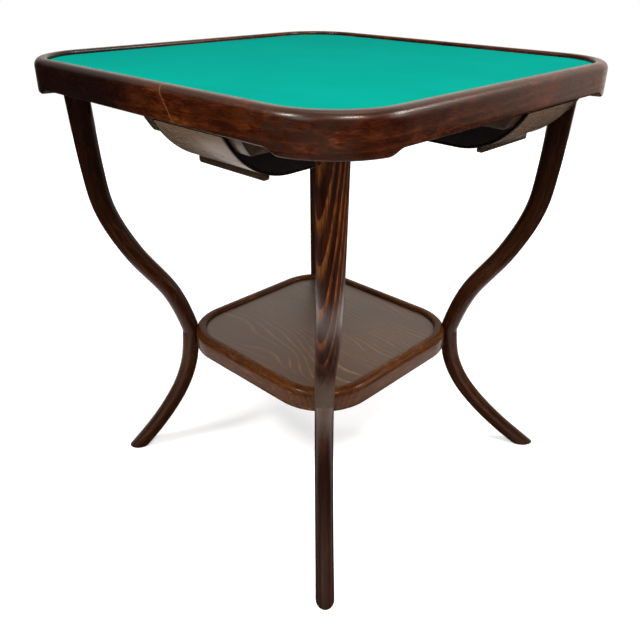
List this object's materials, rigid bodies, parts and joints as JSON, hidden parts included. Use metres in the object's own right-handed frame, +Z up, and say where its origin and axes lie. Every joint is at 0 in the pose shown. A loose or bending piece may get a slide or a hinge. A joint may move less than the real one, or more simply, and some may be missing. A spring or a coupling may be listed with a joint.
{
  "type": "card table",
  "caption": "Square bentwood card table with a raised rim round a cloth playing surface, curved legs, a low shelf and a sliding drawer under each side.",
  "frame": {"origin": "on the floor, under the middle of the table top", "axes": "+Z up; -Y is the front side and +X the right side, each with a drawer right of its middle as seen from outside"},
  "size_m": [0.704, 0.704, 0.768],
  "materials": {
    "rim_wood": "glossy dark walnut stain on bent beech",
    "leg_wood": "glossy dark walnut stain on bent beech",
    "sheet_wood": "glossy dark stained bent sheet",
    "shelf_wood": "glossy dark stained plywood",
    "dark_wood": "near-black stained plate",
    "plain_wood": "bare beech, hidden",
    "green_cloth": "matt green baize",
    "screw_steel": "slotted wood screws"
  },
  "bodies": {
    "table": {"top_rim": "rim_wood", "top_panel": "plain_wood", "playing_cloth": "green_cloth", "shelf_rim": "leg_wood", "shelf_panel": "shelf_wood", "front_right_leg": "leg_wood", "back_right_leg": "leg_wood", "back_left_leg": "leg_wood", "front_left_leg": "leg_wood", "front_right_corner_block": "plain_wood", "back_right_corner_block": "plain_wood", "back_left_corner_block": "plain_wood", "front_left_corner_block": "plain_wood", "front_right_leg_screw": "screw_steel", "back_right_leg_screw": "screw_steel", "back_left_leg_screw": "screw_steel", "front_left_leg_screw": "screw_steel", "front_right_shelf_screw": "screw_steel", "back_right_shelf_screw": "screw_steel", "back_left_shelf_screw": "screw_steel", "front_left_shelf_screw": "screw_steel", "front_left_runner": "sheet_wood", "front_right_runner": "sheet_wood", "right_left_runner": "sheet_wood", "right_right_runner": "sheet_wood", "back_left_runner": "sheet_wood", "back_right_runner": "sheet_wood", "left_left_runner": "sheet_wood", "left_right_runner": "sheet_wood"},
    "front_drawer": {"front_drawer_shell": "sheet_wood", "front_drawer_left_end": "dark_wood", "front_drawer_right_end": "dark_wood", "front_drawer_back": "dark_wood", "front_drawer_pull": "sheet_wood", "front_drawer_left_slide": "plain_wood", "front_drawer_right_slide": "plain_wood"},
    "right_drawer": {"right_drawer_shell": "sheet_wood", "right_drawer_left_end": "dark_wood", "right_drawer_right_end": "dark_wood", "right_drawer_back": "dark_wood", "right_drawer_pull": "sheet_wood", "right_drawer_left_slide": "plain_wood", "right_drawer_right_slide": "plain_wood"},
    "back_drawer": {"back_drawer_shell": "sheet_wood", "back_drawer_left_end": "dark_wood", "back_drawer_right_end": "dark_wood", "back_drawer_back": "dark_wood", "back_drawer_pull": "sheet_wood", "back_drawer_left_slide": "plain_wood", "back_drawer_right_slide": "plain_wood"},
    "left_drawer": {"left_drawer_shell": "sheet_wood", "left_drawer_left_end": "dark_wood", "left_drawer_right_end": "dark_wood", "left_drawer_back": "dark_wood", "left_drawer_pull": "sheet_wood", "left_drawer_left_slide": "plain_wood", "left_drawer_right_slide": "plain_wood"}
  },
  "joints": [
    {"name": "front_drawer_slide", "type": "slide", "parent": "table", "child": "front_drawer", "axis": [0, -1, 0], "range_m": [0, 0.145]},
    {"name": "right_drawer_slide", "type": "slide", "parent": "table", "child": "right_drawer", "axis": [1, 0, 0], "range_m": [0, 0.145]},
    {"name": "back_drawer_slide", "type": "slide", "parent": "table", "child": "back_drawer", "axis": [0, 1, 0], "range_m": [0, 0.145]},
    {"name": "left_drawer_slide", "type": "slide", "parent": "table", "child": "left_drawer", "axis": [-1, 0, 0], "range_m": [0, 0.145]}
  ]
}
